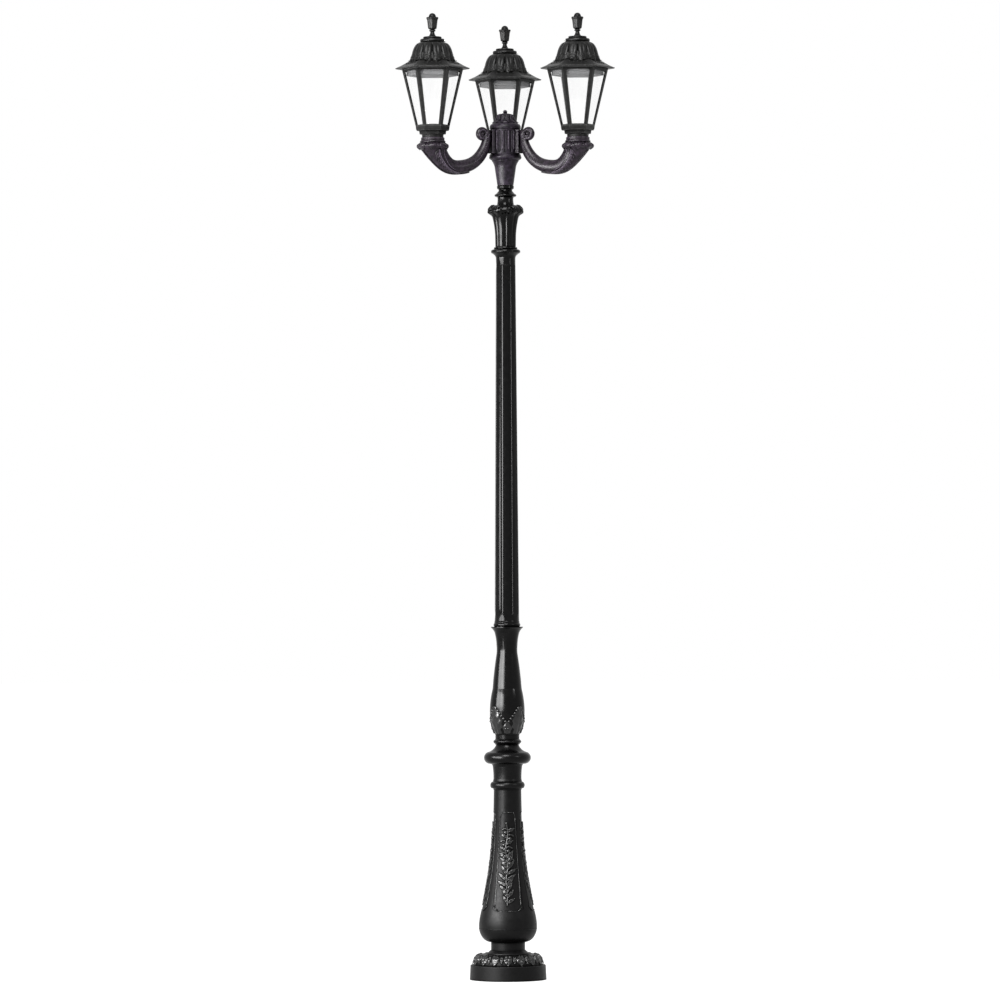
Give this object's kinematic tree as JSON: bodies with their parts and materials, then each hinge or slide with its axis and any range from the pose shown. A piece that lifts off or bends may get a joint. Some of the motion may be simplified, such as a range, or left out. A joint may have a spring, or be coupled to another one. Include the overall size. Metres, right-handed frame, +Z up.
{
  "type": "garden lamp post",
  "caption": "Free-standing garden lamp post: fluted column on a bell-shaped foot, scrolled arms round a hub, and hexagonal glazed lanterns with lobed lift-off roofs.",
  "frame": {"origin": "on the ground at the column's axis, which is the centre of the anchor bolt circle", "axes": "+Z up along the column; the front faces -Y, with a lantern to each side of it in +X and -X; the rear lantern is towards +Y"},
  "size_m": [0.7548, 0.6538, 3.3296],
  "materials": {
    "post_paint": "semi-gloss black paint on cast metal",
    "hub_paint": "satin black paint with a faint purple cast",
    "arm_paint": "satin, finely dimpled as cast",
    "lantern_paint": "satin charcoal paint",
    "ceiling_paint": "matte light grey paint",
    "galvanised_steel": "galvanised",
    "zinc_hardware": "zinc plated",
    "brass_screws": "plain",
    "white_plastic": "matte white",
    "lamp_plastic": "opal white",
    "clear_panes": "clear",
    "seal_rubber": "matte black"
  },
  "bodies": {
    "post": {"base_plate": "galvanised_steel", "core_tube": "galvanised_steel", "foot_drum": "post_paint", "leaf_collar": "post_paint", "pedestal": "post_paint", "lower_collar": "post_paint", "baluster": "post_paint", "shaft": "post_paint", "capital": "post_paint", "hub_body": "hub_paint", "hub_grub_screws": "zinc_hardware", "cap_rod": "zinc_hardware", "terminal_block": "white_plastic", "terminal_screws": "brass_screws", "arm_left": "arm_paint", "arm_bolts_left": "zinc_hardware", "lantern_base_left": "lantern_paint", "nipple_left": "zinc_hardware", "lampholder_left": "white_plastic", "glazing_frame_left": "lantern_paint", "panes_left": "clear_panes", "seal_left": "seal_rubber", "arm_right": "arm_paint", "arm_bolts_right": "zinc_hardware", "lantern_base_right": "lantern_paint", "nipple_right": "zinc_hardware", "lampholder_right": "white_plastic", "glazing_frame_right": "lantern_paint", "panes_right": "clear_panes", "seal_right": "seal_rubber", "arm_rear": "arm_paint", "arm_bolts_rear": "zinc_hardware", "lantern_base_rear": "lantern_paint", "nipple_rear": "zinc_hardware", "lampholder_rear": "white_plastic", "glazing_frame_rear": "lantern_paint", "panes_rear": "clear_panes", "seal_rear": "seal_rubber"},
    "hub_cap": {"hub_cap": "hub_paint", "cap_nut": "hub_paint"},
    "roof_left": {"roof_left": "lantern_paint", "ceiling_left": "ceiling_paint"},
    "finial_left": {"finial_cap_left": "lantern_paint"},
    "screw_left": {"set_screw_left": "zinc_hardware"},
    "lamp_left": {"lamp_left": "lamp_plastic"},
    "roof_right": {"roof_right": "lantern_paint", "ceiling_right": "ceiling_paint"},
    "finial_right": {"finial_cap_right": "lantern_paint"},
    "screw_right": {"set_screw_right": "zinc_hardware"},
    "lamp_right": {"lamp_right": "lamp_plastic"},
    "roof_rear": {"roof_rear": "lantern_paint", "ceiling_rear": "ceiling_paint"},
    "finial_rear": {"finial_cap_rear": "lantern_paint"},
    "screw_rear": {"set_screw_rear": "zinc_hardware"},
    "lamp_rear": {"lamp_rear": "lamp_plastic"}
  },
  "joints": [
    {"name": "hub_cap_lift", "type": "slide", "parent": "post", "child": "hub_cap", "axis": [0, 0, 1], "range_m": [0, 0.04]},
    {"name": "roof_lift_left", "type": "slide", "parent": "post", "child": "roof_left", "axis": [0, 0, 1], "range_m": [0, 0.06]},
    {"name": "finial_lift_left", "type": "slide", "parent": "roof_left", "child": "finial_left", "axis": [0, 0, 1], "range_m": [0, 0.025]},
    {"name": "set_screw_draw_left", "type": "slide", "parent": "finial_left", "child": "screw_left", "axis": [1, 0, 0], "range_m": [0, 0.004]},
    {"name": "lamp_twist_left", "type": "hinge", "parent": "post", "child": "lamp_left", "pos_m": [-0.24941, -0.144, 2.926], "axis": [0, 0, 1], "range_deg": [0, 15]},
    {"name": "roof_lift_right", "type": "slide", "parent": "post", "child": "roof_right", "axis": [0, 0, 1], "range_m": [0, 0.06]},
    {"name": "finial_lift_right", "type": "slide", "parent": "roof_right", "child": "finial_right", "axis": [0, 0, 1], "range_m": [0, 0.025]},
    {"name": "set_screw_draw_right", "type": "slide", "parent": "finial_right", "child": "screw_right", "axis": [-1, 0, 0], "range_m": [0, 0.004]},
    {"name": "lamp_twist_right", "type": "hinge", "parent": "post", "child": "lamp_right", "pos_m": [0.24941, -0.144, 2.926], "axis": [0, 0, 1], "range_deg": [0, 15]},
    {"name": "roof_lift_rear", "type": "slide", "parent": "post", "child": "roof_rear", "axis": [0, 0, 1], "range_m": [0, 0.06]},
    {"name": "finial_lift_rear", "type": "slide", "parent": "roof_rear", "child": "finial_rear", "axis": [0, 0, 1], "range_m": [0, 0.025]},
    {"name": "set_screw_draw_rear", "type": "slide", "parent": "finial_rear", "child": "screw_rear", "axis": [1, 0, 0], "range_m": [0, 0.004]},
    {"name": "lamp_twist_rear", "type": "hinge", "parent": "post", "child": "lamp_rear", "pos_m": [0, 0.288, 2.926], "axis": [0, 0, 1], "range_deg": [0, 15]}
  ]
}
